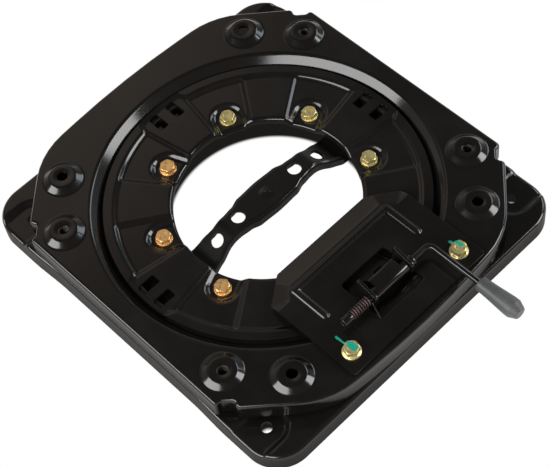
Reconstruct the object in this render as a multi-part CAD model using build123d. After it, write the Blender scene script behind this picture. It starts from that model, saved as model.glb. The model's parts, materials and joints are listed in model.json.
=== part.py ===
from build123d import *
import os
from math import radians, sin, cos, tan, atan2

os.makedirs("parts", exist_ok=True)

# Swivel seat base for a caravan or camper. A pressed tray is bolted to the
# seat box, a slotted ring holds the turning seat plate down on two glide
# rings, and a hand lever drops a pair of teeth into the slots of the ring.
# Millimetres, +Z up, z = 0 under the tray, the Z axis is the swivel axis and
# the latch with its lever is on the +X side.

# Values used by several pieces
sheet = 3.0
glide_gap = 0.10
shank_gap = 0.20
pivot_gap = 0.10
side_gap = 0.5

# Tray that stays with the vehicle
base_half_x = 195.3
base_half_y = 182.8
base_waist_in = 1.8
base_waist_y = base_half_y - base_waist_in
base_waist_x = 95.0
base_waist_run = 30.0
base_corner_r = 34.0
base_crease_r = 4.5
deck_z = 20.0
dome_z = 30.3
dome_top_r = 155.0
dome_run = 10.0
dome_foot_r = dome_top_r + dome_run
dome_join_r = dome_foot_r + 11.0
base_bore_r = 93.0
base_pitch = 315.0
base_hole_r = 5.25
dish_r = 19.5
dish_floor_r = 16.5
dish_depth = 3.0

# Latch ring
ring_bore_r = 87.5
ring_outer_r = 151.5
band_z = 40.6
flat_z = 39.2
bolt_panel_z = 37.2
recess_z = dome_z + sheet
step_r = 142.7
step_foot_r = 138.7
flat_end_r = 148.0
flat_half_deg = 10.2
wall_deg = 3.0
lip_z = 32.2
recess_lip_z = 28.6
recess_r = 16.0
recess_floor_r = 12.0
slot_width = 10.5
slot_offset = 10.4
slot_in_r = 128.3
slot_out_r = 147.0

# Ring bolts
bolt_circle_r = 101.7
bolt_count = 8
bolt_r = 4.0
head_af = 13.0
head_h = 5.3
washer_r = 8.0
washer_t = 1.6
nut_h = 6.5

# Glide rings and the flange that runs between them
glide_in_r = 144.4
glide_rib_r = 142.4
glide_out_r = 151.0
glide_t = 2.1
flange_low_z = dome_z + glide_t + glide_gap
flange_top_z = flange_low_z + sheet
flange_bore_r = glide_in_r + glide_gap
rib_top_z = flange_top_z - 0.2

# Bar across the middle
bar_top_z = 44.4
bar_flange = 11.0
bar_flat_y = 51.0
bar_foot_y = 82.0
bar_end_y = 112.0
bar_foot_z = dome_z - sheet
bar_widths = [(0, 17.4), (22, 16.4), (34, 13.1), (45, 11.9), (57, 11.6), (72, 14.2), (86, 15.9), (112, 17.0)]
bar_hole_r = 6.7
bar_hole_y = 36.0
bar_slope_hole_y = 64.0

# Seat plate that turns
field_z = 46.0
seat_bow_x = 200.0
seat_corner = (191.75, 112.2)
seat_half_y = 181.4
notch_tip = (137.7, 11.1)
notch_root = (131.5, 14.7)
notch_end = (123.3, 6.1)
seat_skirt_z = 26.5
seat_crease_r = 3.8
crest_r = 162.6
wall_foot_r = 153.0
boss_base_r = 19.35
boss_top_r = 12.5
boss_h = 5.0
boss_hole_r = 5.25
plain_boss = (151.3, 117.2)
nut_boss = (105.3, 154.8)
seat_nut_af = 17.0
seat_nut_h = 8.0

# Latch plate bolted on the seat plate
latch_z = field_z + sheet
latch_x = 190.8
latch_half_y = 82.4
nose_x = 69.7
nose_half_y = 55.0
nose_side_x = 89.6
nose_drop = 4.8
window_x0 = 120.5
window_x1 = 170.0
window_half_y = 27.5
bead_w = 8.4
bead_h = 2.2
bead_x = 95.0
bead_y = 58.0
bead_end_x = 132.5
flange_bolt = (173.1, 67.5)
bolt_flange_r = 8.75

# Lever, pawl and their bearing
pivot_x = 154.0
pivot_z = 61.0
rod_r = 3.0
rod_end_y = -57.6
arm_y = 50.0
rod_bend_r = 6.5
ear_in_y = 21.0
ear_foot_y = 38.0
sleeve_r = 5.5
tooth_w = 9.5
tooth_tip_z = 39.8
tooth_x = 133.0
grip_x0 = 212.5
grip_x1 = 257.5
coil_y0 = -25.9
coil_y1 = -46.6
coil_turns = 8
coil_wire_r = 0.75
coil_r = 4.05
collar_y = 47.7


def nearest(shape, x, y):
    """The corner of a flat outline that is closest to a point."""
    return sorted(shape.vertices(), key=lambda v: (v.X - x) ** 2 + (v.Y - y) ** 2)[0]


def rounded(points, radii):
    """A closed outline with its own radius at each corner."""
    face = make_face(Polyline(*points, close=True))
    for point, radius in zip(points, radii):
        if radius > 0:
            face = fillet(nearest(face, point[0], point[1]), radius)
    return face


def turned(points, radii):
    """A profile of radius and height, rounded and revolved about Z."""
    return revolve(Plane.XZ * rounded(points, radii), Axis.Z)


def polar(r, a):
    return (r * cos(radians(a)), r * sin(radians(a)))


def sector(r0, r1, a0, a1, corner):
    """A piece of a ring with its two outer corners rounded."""
    mid = (a0 + a1) / 2
    edges = [
        Line(polar(r0, a0), polar(r1, a0)),
        ThreePointArc(polar(r1, a0), polar(r1, mid), polar(r1, a1)),
        Line(polar(r1, a1), polar(r0, a1)),
        ThreePointArc(polar(r0, a1), polar(r0, mid), polar(r0, a0)),
    ]
    face = make_face(edges)
    if corner > 0:
        for a in (a0, a1):
            x, y = polar(r1, a)
            face = fillet(nearest(face, x, y), corner)
    return face


def between(low, low_z, high, high_z):
    """A pocket with straight sloping walls between two outlines."""
    return loft([Pos(0, 0, low_z) * low, Pos(0, 0, high_z) * high], ruled=True)


def slot_outline(r, length):
    """A round-ended tongue: a half circle at the origin, open towards +X."""
    edges = [
        ThreePointArc((0, r), (-r, 0), (0, -r)),
        Line((0, -r), (length, -r)),
        Line((length, -r), (length, r)),
        Line((length, r), (0, r)),
    ]
    return make_face(edges)


def hexagon(across_flats, height):
    return extrude(RegularPolygon(across_flats / 2, 6, major_radius=False), height)


def quarters(x, y):
    return [(x, y), (-x, y), (-x, -y), (x, -y)]


# base_plate: a drawn tray with a raised ring-shaped dome in the middle. The
# inside is the same shape drawn one sheet lower, so the wall is even.
half = [
    (base_half_x, -base_half_y), (base_half_x, base_half_y),
    (base_waist_x + base_waist_run, base_half_y), (base_waist_x, base_waist_y),
    (-base_waist_x, base_waist_y), (-base_waist_x - base_waist_run, base_half_y),
    (-base_half_x, base_half_y), (-base_half_x, -base_half_y),
    (-base_waist_x - base_waist_run, -base_half_y), (-base_waist_x, -base_waist_y),
    (base_waist_x, -base_waist_y), (base_waist_x + base_waist_run, -base_half_y),
]
waist_r = 250.0
radii = [base_corner_r, base_corner_r] + [waist_r] * 4 + [base_corner_r, base_corner_r] + [waist_r] * 4
base_outline = rounded(half, radii)
tray = extrude(base_outline, deck_z)
tray = fillet(tray.faces().sort_by(Axis.Z)[-1].edges(), base_crease_r)
tray_in = Pos(0, 0, -5) * extrude(offset(base_outline, -sheet), deck_z - sheet + 5)
tray_in = fillet(tray_in.faces().sort_by(Axis.Z)[-1].edges(), base_crease_r - sheet)
dome_slope = atan2(dome_z - deck_z, dome_foot_r - dome_top_r)
dome_inset = sheet * tan(dome_slope / 2)
dome = turned(
    [(0, 5), (dome_join_r, 5), (dome_join_r, deck_z), (dome_foot_r, deck_z), (dome_top_r, dome_z), (0, dome_z)],
    [0, 0, 0, 5, 5, 0],
)
dome_in = turned(
    [(0, 5), (dome_join_r, 5), (dome_join_r, deck_z - sheet), (dome_foot_r - dome_inset, deck_z - sheet),
     (dome_top_r - dome_inset, dome_z - sheet), (0, dome_z - sheet)],
    [0, 0, 0, 8, 2, 0],
)
tray = tray + dome
tray_in = tray_in + dome_in
dish_run = 40.0
dish = between(slot_outline(dish_floor_r, dish_run), -dish_depth, slot_outline(dish_r + 1.0, dish_run), 1.0)
for x, y in quarters(base_pitch / 2, base_pitch / 2):
    turn = 90 if y > 0 else -90
    tray = tray - Pos(x, y, deck_z) * Rot(0, 0, turn) * dish
    tray_in = tray_in - Pos(x, y, deck_z - sheet) * Rot(0, 0, turn) * dish
base_plate = tray - tray_in - Cylinder(base_bore_r, 100)
for x, y in quarters(base_pitch / 2, base_pitch / 2):
    base_plate = base_plate - Pos(x, y, deck_z) * Cylinder(base_hole_r, 30)
bolt_angles = [360 / bolt_count * (i + 0.5) for i in range(bolt_count)]
for a in bolt_angles:
    x, y = polar(bolt_circle_r, a)
    base_plate = base_plate - Pos(x, y, dome_z) * Cylinder(bolt_r + shank_gap, 20)

# ring_plate: the pressed latch ring. Four flats carry the slots, eight lower
# panels carry the bolts, and a lip is turned down round the bore.
bolt_mid = 360 / bolt_count / 2
bolt_edge = flat_half_deg + wall_deg
step_run = (step_r - step_foot_r) / (band_z - bolt_panel_z)
panel_r = step_r - step_run * (band_z - flat_z)
inner_r = 60.0
band_drop = band_z - flat_z
press = Pos(0, 0, 20) * extrude(Circle(ring_outer_r), band_z - 20)
press = press - turned([(0, flat_z), (panel_r, flat_z), (step_r + step_run, band_z + 1), (0, band_z + 1)], [0, 0, 0, 0])
flat_pocket = between(
    sector(135, flat_end_r, -flat_half_deg, flat_half_deg, 4), flat_z,
    sector(135, flat_end_r + 2, -flat_half_deg - 1.4, flat_half_deg + 1.4, 5), flat_z + 2,
)
cut_top = 1.4
high_a = bolt_edge - cut_top * wall_deg
bolt_out = panel_r - 0.8
bolt_foot = bolt_out - step_run * (flat_z - bolt_panel_z)
bolt_pocket = between(
    sector(inner_r, bolt_foot, bolt_edge, 2 * bolt_mid - bolt_edge, 3.5), bolt_panel_z,
    sector(inner_r, bolt_foot + cut_top * (bolt_out - bolt_foot), high_a, 2 * bolt_mid - high_a, 5.5),
    bolt_panel_z + cut_top * (flat_z - bolt_panel_z),
)
recess_slope = (recess_r - recess_floor_r) / (bolt_panel_z - recess_z)
recess_rise = 6.7
recess = between(
    slot_outline(recess_floor_r, 40), 0,
    slot_outline(recess_floor_r + recess_slope * recess_rise, 40), recess_rise,
)
for k in range(4):
    press = press - Rot(0, 0, 90 * k) * flat_pocket
for k in range(bolt_count):
    press = press - Rot(0, 0, 45 * k) * bolt_pocket
for a in bolt_angles:
    x, y = polar(bolt_circle_r, a)
    press = press - Pos(x, y, recess_z) * Rot(0, 0, a + 180) * recess
lip = Pos(0, 0, lip_z) * extrude(Circle(ring_bore_r + sheet) - Circle(ring_bore_r - 2), 30)
deep_lip = extrude(sector(ring_bore_r - 3, ring_bore_r + sheet - 0.1, -7, 7, 0), 8)
ring_hollow = Pos(0, 0, -sheet) * press - lip
for a in bolt_angles:
    ring_hollow = ring_hollow - Pos(0, 0, recess_lip_z) * Rot(0, 0, a) * deep_lip
ring_plate = press - ring_hollow
ring_plate = ring_plate - Cylinder(ring_bore_r, 200)
slot_mid = (slot_in_r + slot_out_r) / 2
latch_slot = extrude(RectangleRounded(slot_out_r - slot_in_r, slot_width, 1.5), 40)
for k in range(4):
    for side in (-1, 1):
        ring_plate = ring_plate - Rot(0, 0, 90 * k) * Pos(slot_mid, side * slot_offset, 20) * latch_slot
for a in bolt_angles:
    x, y = polar(bolt_circle_r, a)
    ring_plate = ring_plate - Pos(x, y, dome_z) * Cylinder(bolt_r + shank_gap, 40)

# Bolts, washers and weld nuts that clamp the ring on the dome
seat_of_head = recess_z + washer_t
nut_low_z = dome_z - sheet - nut_h
one_bolt = Pos(0, 0, seat_of_head) * hexagon(head_af, head_h)
one_bolt = chamfer(one_bolt.faces().sort_by(Axis.Z)[-1].edges(), 0.7)
one_bolt = one_bolt + Pos(0, 0, nut_low_z - 2) * extrude(Circle(bolt_r), seat_of_head - nut_low_z + 2)
one_washer = Pos(0, 0, recess_z) * extrude(Circle(washer_r) - Circle(bolt_r + shank_gap), washer_t)
one_nut = Pos(0, 0, nut_low_z) * (hexagon(head_af, nut_h) - Cylinder(bolt_r + 0.05, 30))
bolts, washers, nuts = [], [], []
for a in bolt_angles:
    x, y = polar(bolt_circle_r, a)
    place = Pos(x, y, 0) * Rot(0, 0, a + 11)
    bolts.append(place * one_bolt)
    washers.append(place * one_washer)
    nuts.append(place * one_nut)
ring_bolts = Compound(children=bolts)
ring_bolt_washers = Compound(children=washers)
ring_bolt_nuts = Compound(children=nuts)

# Glide rings above and below the turning flange. The lower one has a rib that
# centres the flange, the upper one is relieved under the four flats.
glide_ring_lower = turned(
    [(glide_rib_r, dome_z), (glide_out_r, dome_z), (glide_out_r, dome_z + glide_t),
     (glide_in_r, dome_z + glide_t), (glide_in_r, rib_top_z), (glide_rib_r, rib_top_z)],
    [0, 0, 0, 0, 0, 0],
)
upper_low_z = flange_top_z + glide_gap
glide_ring_upper = turned(
    [(145.4, upper_low_z), (glide_out_r, upper_low_z), (glide_out_r, band_z - sheet), (145.4, band_z - sheet)],
    [0, 0, 0, 0],
)
relief = extrude(sector(100, flat_end_r + 1.8, -flat_half_deg - 1.6, flat_half_deg + 1.6, 0), 60)
for k in range(4):
    glide_ring_upper = glide_ring_upper - Rot(0, 0, 90 * k) * relief

# cross_bar: a pressed channel with a waist and two sloping legs, welded under
# the dome at both ends
side_points = [(y, w) for y, w in bar_widths]


def bar_plan(inset):
    """Plan outline of the bar, its curved sides drawn through the widths."""
    right = [(w - inset, y) for y, w in reversed(side_points)] + [(w - inset, -y) for y, w in side_points[1:]]
    left = [(-x, y) for x, y in reversed(right)]
    edges = [
        Spline(*right),
        Line(right[-1], left[0]),
        Spline(*left),
        Line(left[-1], right[0]),
    ]
    return make_face(edges)


def bar_side(drop, depth):
    """Side outline of the bar between its top line and a lower line."""
    top = [(-bar_end_y, bar_foot_z), (-bar_foot_y, bar_foot_z), (-bar_flat_y, bar_top_z),
           (bar_flat_y, bar_top_z), (bar_foot_y, bar_foot_z), (bar_end_y, bar_foot_z)]
    low = [(y, z - drop) for y, z in top]
    under = [(y, z - depth) for y, z in reversed(top)]
    bend = [0, 8, 8, 8, 8, 0]
    return rounded(low + under, bend + bend)


across = Plane.YZ
solid_bar = extrude(across * bar_side(0, bar_flange), 40, both=True) & extrude(bar_plan(0), 60)
hollow = extrude(across * bar_side(sheet, 40), 40, both=True) & Pos(0, 0, -40) * extrude(bar_plan(sheet), 110)
cross_bar = solid_bar - hollow
bar_slope = atan2(bar_top_z - bar_foot_z, bar_foot_y - bar_flat_y) * 180 / 3.141592653589793
slope_z = bar_top_z - (bar_slope_hole_y - bar_flat_y) * tan(radians(bar_slope))
for side in (-1, 1):
    cross_bar = cross_bar - Pos(0, side * bar_hole_y, bar_top_z) * Cylinder(bar_hole_r, 16)
    cross_bar = cross_bar - Pos(0, side * bar_slope_hole_y, slope_z) * Rot(-side * bar_slope, 0, 0) * Cylinder(bar_hole_r, 12)
pip = Pos(0, 0, bar_top_z - 7.2) * Sphere(8.8) & Pos(0, 0, bar_top_z - 1) * extrude(Circle(6), 6)
cross_bar = cross_bar + pip

# seat_plate: the pressed plate that turns. Its middle is drawn down into the
# flange that runs between the glide rings, and eight bosses carry the seat.
# Each notch point is its x and how far it lies in from the plate's y edge.
corner = [((seat_corner[0], seat_corner[1]), 80.0)]
for (x, inset), r in ((notch_tip, 4.4), (notch_root, 3.9), (notch_end, 4.0)):
    corner.append(((x, seat_half_y - inset), r))
corner.append(((notch_end[0], seat_half_y), 4.0))
seat_points = []
seat_radii = []
for sx, sy in ((1, 1), (-1, 1), (-1, -1), (1, -1)):
    run = corner if sx == sy else list(reversed(corner))
    if (sx, sy) in ((1, 1), (-1, -1)):
        seat_points.append((sx * seat_bow_x, 0))
        seat_radii.append(900.0)
    for (x, y), r in run:
        seat_points.append((sx * x, sy * y))
        seat_radii.append(r)
seat_outline = rounded(seat_points, seat_radii)
skirt = Pos(0, 0, seat_skirt_z) * extrude(seat_outline, field_z - seat_skirt_z)
skirt = fillet(skirt.faces().sort_by(Axis.Z)[-1].edges(), seat_crease_r)
skirt_in = Pos(0, 0, seat_skirt_z - 5) * extrude(offset(seat_outline, -sheet), field_z - sheet - seat_skirt_z + 5)
wall_slope = atan2(field_z - flange_top_z, crest_r - wall_foot_r)
wall_inset = sheet * tan(wall_slope / 2)
well = turned(
    [(0, flange_top_z), (wall_foot_r, flange_top_z), (crest_r, field_z), (172, field_z), (172, 70), (0, 70)],
    [0, 1.5, 4.5, 0, 0, 0],
)
well_under = turned(
    [(0, flange_low_z), (wall_foot_r + wall_inset, flange_low_z), (crest_r + wall_inset, field_z - sheet),
     (174, field_z - sheet), (174, 70), (0, 70)],
    [0, 4.5, 1.5, 0, 0, 0],
)
boss_slope = atan2(boss_h, boss_base_r - boss_top_r)
boss_inset = sheet * tan(boss_slope / 2)
boss = Pos(0, 0, field_z + boss_h / 2) * Cone(boss_base_r, boss_top_r, boss_h)
boss_in = Pos(0, 0, field_z - sheet + boss_h / 2) * Cone(boss_base_r - boss_inset, boss_top_r - boss_inset, boss_h)
boss_places = quarters(*plain_boss) + quarters(*nut_boss)
seat_solid = skirt - well
seat_hollow = skirt_in - well_under
for x, y in boss_places:
    seat_solid = seat_solid + Pos(x, y, 0) * boss
    seat_hollow = seat_hollow + Pos(x, y, 0) * boss_in
seat_plate = seat_solid - seat_hollow - Cylinder(flange_bore_r, 200)
for x, y in boss_places:
    seat_plate = seat_plate - Pos(x, y, field_z) * Cylinder(boss_hole_r, 40)
for side in (-1, 1):
    seat_plate = seat_plate - Pos(flange_bolt[0], side * flange_bolt[1], field_z) * Cylinder(bolt_r + shank_gap, 20)

boss_under_z = field_z + boss_h - sheet
seat_nut = Pos(0, 0, boss_under_z - seat_nut_h) * (hexagon(seat_nut_af, seat_nut_h) - Cylinder(boss_hole_r - 0.75, 40))
seat_weld_nuts = Compound(children=[Pos(x, y, 0) * seat_nut for x, y in quarters(*nut_boss)])

# latch_plate: bolted on the seat plate, with a nose bent down over the ring,
# a stiffening bead and a window for the latch
bend = [(87.4, 57.5), (98.0, 68.0), (99.0, latch_half_y)]
plan = [
    (nose_x, -nose_half_y), (nose_side_x, -latch_half_y), (latch_x, -latch_half_y),
    (latch_x, latch_half_y), (nose_side_x, latch_half_y), (nose_x, nose_half_y),
]
form = Pos(0, 0, 30) * extrude(rounded(plan, [3, 3, 3, 3, 3, 3]), latch_z - 30)
nose_z = latch_z - nose_drop


def slope_cut(p, q, low):
    """Everything above the plane through two points of a bend line and one low point."""
    a, b, c = Vector(*p), Vector(*q), Vector(*low)
    normal = (b - a).cross(c - a).normalized()
    if normal.Z < 0:
        normal = normal * -1
    return Plane(origin=a, z_dir=normal) * Pos(0, 0, 50) * Box(600, 600, 100)


front = slope_cut((bend[0][0], 0, latch_z), (bend[0][0], 10, latch_z), (nose_x, 0, nose_z))
form = form - front
for side in (-1, 1):
    p = (bend[0][0], side * bend[0][1], latch_z)
    q = (bend[1][0], side * bend[1][1], latch_z)
    low = (nose_side_x - 9, side * (latch_half_y - 12.4), nose_z)
    form = form - slope_cut(p, q, low)
bead_run = bead_end_x - bead_x
bead_face = Pos(bead_x, 0) * Rectangle(bead_w, 2 * bead_y)
for side in (-1, 1):
    bead_face = bead_face + Pos(bead_x + bead_run / 2, side * bead_y) * Rectangle(bead_run, bead_w)
    bead_face = bead_face + Pos(bead_end_x, side * bead_y) * Circle(bead_w / 2)
    bead_face = bead_face + Pos(bead_x, side * bead_y) * Circle(bead_w / 2)
bead = extrude(bead_face, bead_h, taper=40)
form = form + Pos(0, 0, latch_z) * bead
latch_plate = form - Pos(0, 0, -sheet) * form
window_w = window_x1 - window_x0
window = extrude(RectangleRounded(window_w, 2 * window_half_y, 4), 60)
latch_plate = latch_plate - Pos((window_x0 + window_x1) / 2, 0, 20) * window
for side in (-1, 1):
    latch_plate = latch_plate - Pos(flange_bolt[0], side * flange_bolt[1], latch_z) * Cylinder(bolt_r + shank_gap, 20)

# Flange bolts and weld nuts that hold the latch plate
seat_nut_z = field_z - sheet
flange_head = turned(
    [(0, 0), (bolt_flange_r, 0), (bolt_flange_r, 1.2), (7.4, 2.6), (0, 2.6)],
    [0, 0, 0, 0, 0],
)
flange_head = flange_head + chamfer(hexagon(head_af, 8.0).faces().sort_by(Axis.Z)[-1].edges(), 0.7)
flange_shank = Pos(0, 0, seat_nut_z - nut_h - 2 - latch_z) * extrude(Circle(bolt_r), latch_z - seat_nut_z + nut_h + 2)
latch_bolt = flange_head + flange_shank
latch_nut = Pos(0, 0, seat_nut_z - nut_h) * (hexagon(head_af, nut_h) - Cylinder(bolt_r + 0.05, 30))
latch_bolts, latch_nuts = [], []
for side in (-1, 1):
    place = Pos(flange_bolt[0], side * flange_bolt[1], 0)
    latch_bolts.append(place * Pos(0, 0, latch_z) * Rot(0, 0, 15) * latch_bolt)
    latch_nuts.append(place * latch_nut)
latch_flange_bolts = Compound(children=latch_bolts)
latch_weld_nuts = Compound(children=latch_nuts)

# Two ears, each bent out into a foot under the latch plate, carry the lever
ear_low_z = latch_z - 2 * sheet
ear_side = [(138, ear_low_z), (152, ear_low_z), (154, 51), (161, 55), (161, 66.8), (137, 73.6), (137, 52)]
ear_profile = rounded(ear_side, [0, 0, 3, 3, 4, 4, 3])
ear_cut = Pos(pivot_x, 0, pivot_z) * Rot(90, 0, 0) * Cylinder(rod_r + pivot_gap, 200)
ear_sheet = Plane.XZ * extrude(ear_profile, -sheet)
foot = Pos(145, (ear_in_y + ear_foot_y) / 2, ear_low_z + sheet / 2) * Box(14, ear_foot_y - ear_in_y, sheet)
latch_ear_left = Pos(0, ear_in_y, 0) * ear_sheet + foot - ear_cut
latch_ear_right = mirror(latch_ear_left, Plane.XZ)

# lever_rod: one bent rod, the pivot along Y and the arm along +X
rod_path = Wire([
    Edge.make_line((pivot_x, rod_end_y, pivot_z), (pivot_x, arm_y - rod_bend_r, pivot_z)),
    Edge.make_three_point_arc(
        (pivot_x, arm_y - rod_bend_r, pivot_z),
        (pivot_x + rod_bend_r * (1 - cos(radians(45))), arm_y - rod_bend_r * (1 - sin(radians(45))), pivot_z),
        (pivot_x + rod_bend_r, arm_y, pivot_z)),
    Edge.make_line((pivot_x + rod_bend_r, arm_y, pivot_z), (grip_x1 - 6, arm_y, pivot_z)),
])
rod_start = Plane(origin=(pivot_x, rod_end_y, pivot_z), z_dir=(0, 1, 0))
lever_rod = sweep(rod_start * Circle(rod_r), path=rod_path)

# pawl: a sleeve on the rod with a bent leg that ends in two teeth
leg = rounded(
    [(pivot_x, pivot_z + sleeve_r), (142, pivot_z + sleeve_r), (tooth_x, 43.0), (tooth_x, tooth_tip_z),
     (tooth_x + sheet, tooth_tip_z), (tooth_x + sheet, 42.4), (144.2, pivot_z + sleeve_r - sheet),
     (pivot_x, pivot_z + sleeve_r - sheet)],
    [0, 3.5, 0, 0, 0, 0, 0.5, 0],
)
pawl_half = ear_in_y - side_gap
leg_half = slot_offset + tooth_w / 2
pawl = Pos(pivot_x, 0, pivot_z) * Rot(90, 0, 0) * Cylinder(sleeve_r, 2 * pawl_half)
pawl = pawl + Plane.XZ * extrude(leg, leg_half, both=True)
gap_w = 2 * slot_offset - tooth_w
pawl = pawl - Pos(tooth_x + 2, 0, 43) * Box(8, gap_w, 9)
pawl = pawl - Pos(pivot_x, 0, pivot_z) * Rot(90, 0, 0) * Cylinder(rod_r + 0.05, 100)

# lever_grip: a moulded handle pushed on the arm
grip_line = [(0, 0), (6.65, 0), (6.65, 1.5), (7.4, 14), (9.0, 33), (9.0, 37.5), (5.6, 45), (0, 45)]
grip_body = turned(grip_line, [0, 1.2, 0, 0, 0, 1.5, 1.0, 0])
grip_place = Plane(origin=(grip_x0, arm_y, pivot_z), z_dir=(1, 0, 0))
lever_grip = grip_place * grip_body - grip_place * Pos(0, 0, -1) * extrude(Circle(rod_r + 0.05), grip_x1 - 6 - grip_x0 + 1.1)

# lever_spring: a close coil round the rod with one leg on the latch plate and
# the other hooked against the ear
coil_height = coil_y0 - coil_y1
coil_steps = 16
coil_points = []
for i in range(coil_turns * coil_steps + 1):
    x, y = polar(coil_r, 360 * i / coil_steps)
    coil_points.append((x, y, coil_height * i / (coil_turns * coil_steps)))
coil_path = Polyline(*coil_points)
coil_start = Plane(origin=coil_path @ 0, z_dir=coil_path % 0)
coil = sweep(coil_start * RegularPolygon(coil_wire_r, 8), path=coil_path, transition=Transition.RIGHT)
lever_spring = Pos(pivot_x, coil_y0, pivot_z) * Rot(90, 0, 0) * coil

# Parts that keep the rod in place: a cap at its end and a ring by the ear
spring_collar = Pos(pivot_x, 0, pivot_z) * Rot(90, 0, 0) * (
    Pos(0, 0, collar_y) * extrude(Circle(4.6) - Circle(rod_r + 0.05), -rod_end_y - collar_y)
)
pivot_ring = Pos(pivot_x, 0, pivot_z) * Rot(-90, 0, 0) * (
    Pos(0, 0, ear_in_y + sheet + side_gap) * extrude(Circle(5.6) - Circle(rod_r + 0.05), 4.0)
)

nodes = {
    "base_plate": base_plate,
    "ring_plate": ring_plate,
    "cross_bar": cross_bar,
    "glide_ring_lower": glide_ring_lower,
    "glide_ring_upper": glide_ring_upper,
    "ring_bolts": ring_bolts,
    "ring_bolt_washers": ring_bolt_washers,
    "ring_bolt_nuts": ring_bolt_nuts,
    "seat_plate": seat_plate,
    "seat_weld_nuts": seat_weld_nuts,
    "latch_plate": latch_plate,
    "latch_flange_bolts": latch_flange_bolts,
    "latch_weld_nuts": latch_weld_nuts,
    "latch_ear_left": latch_ear_left,
    "latch_ear_right": latch_ear_right,
    "lever_spring": lever_spring,
    "lever_rod": lever_rod,
    "pawl": pawl,
    "lever_grip": lever_grip,
    "spring_collar": spring_collar,
    "pivot_ring": pivot_ring,
}
for name, shape in nodes.items():
    export_step(shape, f"parts/{name}.step")
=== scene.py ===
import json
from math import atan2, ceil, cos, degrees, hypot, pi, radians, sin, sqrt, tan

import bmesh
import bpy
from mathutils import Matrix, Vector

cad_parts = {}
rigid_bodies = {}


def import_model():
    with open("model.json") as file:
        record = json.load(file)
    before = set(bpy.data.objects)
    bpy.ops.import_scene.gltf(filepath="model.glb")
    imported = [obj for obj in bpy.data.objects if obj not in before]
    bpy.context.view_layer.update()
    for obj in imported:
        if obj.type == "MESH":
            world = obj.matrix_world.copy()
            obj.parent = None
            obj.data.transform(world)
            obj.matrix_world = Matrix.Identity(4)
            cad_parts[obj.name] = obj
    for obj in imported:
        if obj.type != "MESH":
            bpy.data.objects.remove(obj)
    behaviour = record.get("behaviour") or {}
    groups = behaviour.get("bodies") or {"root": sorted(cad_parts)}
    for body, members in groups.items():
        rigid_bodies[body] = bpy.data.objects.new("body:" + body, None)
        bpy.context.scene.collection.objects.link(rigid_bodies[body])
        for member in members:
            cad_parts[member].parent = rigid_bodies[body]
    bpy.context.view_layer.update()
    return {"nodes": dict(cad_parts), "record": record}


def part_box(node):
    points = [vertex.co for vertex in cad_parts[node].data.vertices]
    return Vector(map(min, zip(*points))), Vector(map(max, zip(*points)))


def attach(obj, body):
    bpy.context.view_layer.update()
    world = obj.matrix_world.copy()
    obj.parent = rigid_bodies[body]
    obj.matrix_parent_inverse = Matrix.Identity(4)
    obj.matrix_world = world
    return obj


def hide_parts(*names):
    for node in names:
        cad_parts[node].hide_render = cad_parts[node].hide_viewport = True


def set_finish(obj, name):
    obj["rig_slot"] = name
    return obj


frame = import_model()

# %% [markdown]
# A swivel seat base is made almost wholly of pressed steel sheet under a thin
# glossy black coat. What tells the eye that it is pressed metal is the narrow
# bright line along every bend. The CAD solids have the right sizes but plain
# corners, so each big plate is modelled again here as a smooth sheet with
# rounded bends, laid exactly over its CAD piece.

MM = 0.001
sheet = 3.0

# %% [markdown]
# Lengths are written in millimetres, as on a drawing, and scaled to Blender's
# metres when a piece is finished. Two small shapes of curve are used all over:
# a step with rounded corners, for the walls of pressings, and a path whose
# corners are arcs, for profiles that are spun. A path gets a point just beside
# each arc, which keeps the flats next to it flat in the shading.

# %% Curves for pressed walls and profiles
def ease(t, soft):
    """Zero below 0 and t above it, with a rounded corner of half-width soft."""
    if t <= -soft:
        return 0.0
    if t >= soft:
        return t
    return (t + soft) ** 2 / (4 * soft)


def wall(t, width, soft):
    """Climbs from 0 at t = 0 to 1 at t = width, rounded at both ends."""
    return (ease(t, soft) - ease(t - width, soft)) / width


def rounded_path(points, radii, step=9.0, pad=1.2):
    """Points along a path whose inner corners are arcs, one for each step degrees."""
    path = [Vector(points[0])]
    for before, corner, after, r in zip(points, points[1:], points[2:], radii):
        a, c, b = Vector(before), Vector(corner), Vector(after)
        u, w = (a - c).normalized(), (b - c).normalized()
        turn = pi - u.angle(w)
        if r == 0 or turn < 0.01:
            path.append(c)
            continue
        cut = r * tan(turn / 2)
        centre = c + (u + w).normalized() * (r / cos(turn / 2))
        arm = c + u * cut - centre
        side = 1 if u.x * w.y - u.y * w.x < 0 else -1
        if (c + u * cut - path[-1]).length > 1.5 * pad:
            path.append(c + u * (cut + pad))
        count = max(2, ceil(degrees(turn) / step))
        for i in range(count + 1):
            path.append(centre + Matrix.Rotation(side * turn * i / count, 2) @ arm)
        if (b - c).length > cut + 1.5 * pad:
            path.append(c + w * (cut + pad))
    path.append(Vector(points[-1]))
    return path


print("a rounded corner takes", len(rounded_path([(0, 0), (10, 0), (10, 10)], [3])), "points")

# %% [markdown]
# Round pressings are spun from a profile. A sheet whose outline isn't round can
# still start as a spin: a row of vertices is spun into a carpet of rings, and
# each vertex is then moved to its place by a formula. That keeps every face a
# quad, and the rings follow the bends, so the highlights run clean.

# %% Spinning and placing meshes
touching = 0.0005


def spin_row(bm, row, steps, centre=(0, 0, 0)):
    """Spins a row of points round a vertical axis through centre."""
    verts = [bm.verts.new(Vector(p) + Vector(centre)) for p in row]
    edges = [bm.edges.new(pair) for pair in zip(verts, verts[1:])]
    bmesh.ops.spin(
        bm, geom=verts + edges, cent=centre, axis=(0, 0, 1), angle=2 * pi, steps=steps, use_merge=True)


def spun_profile(path, steps):
    """A turned shape whose half section is the path."""
    bm = bmesh.new()
    spin_row(bm, [(p[0], 0, p[1]) for p in path], steps)
    bmesh.ops.remove_doubles(bm, verts=bm.verts, dist=touching)
    return bm


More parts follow.
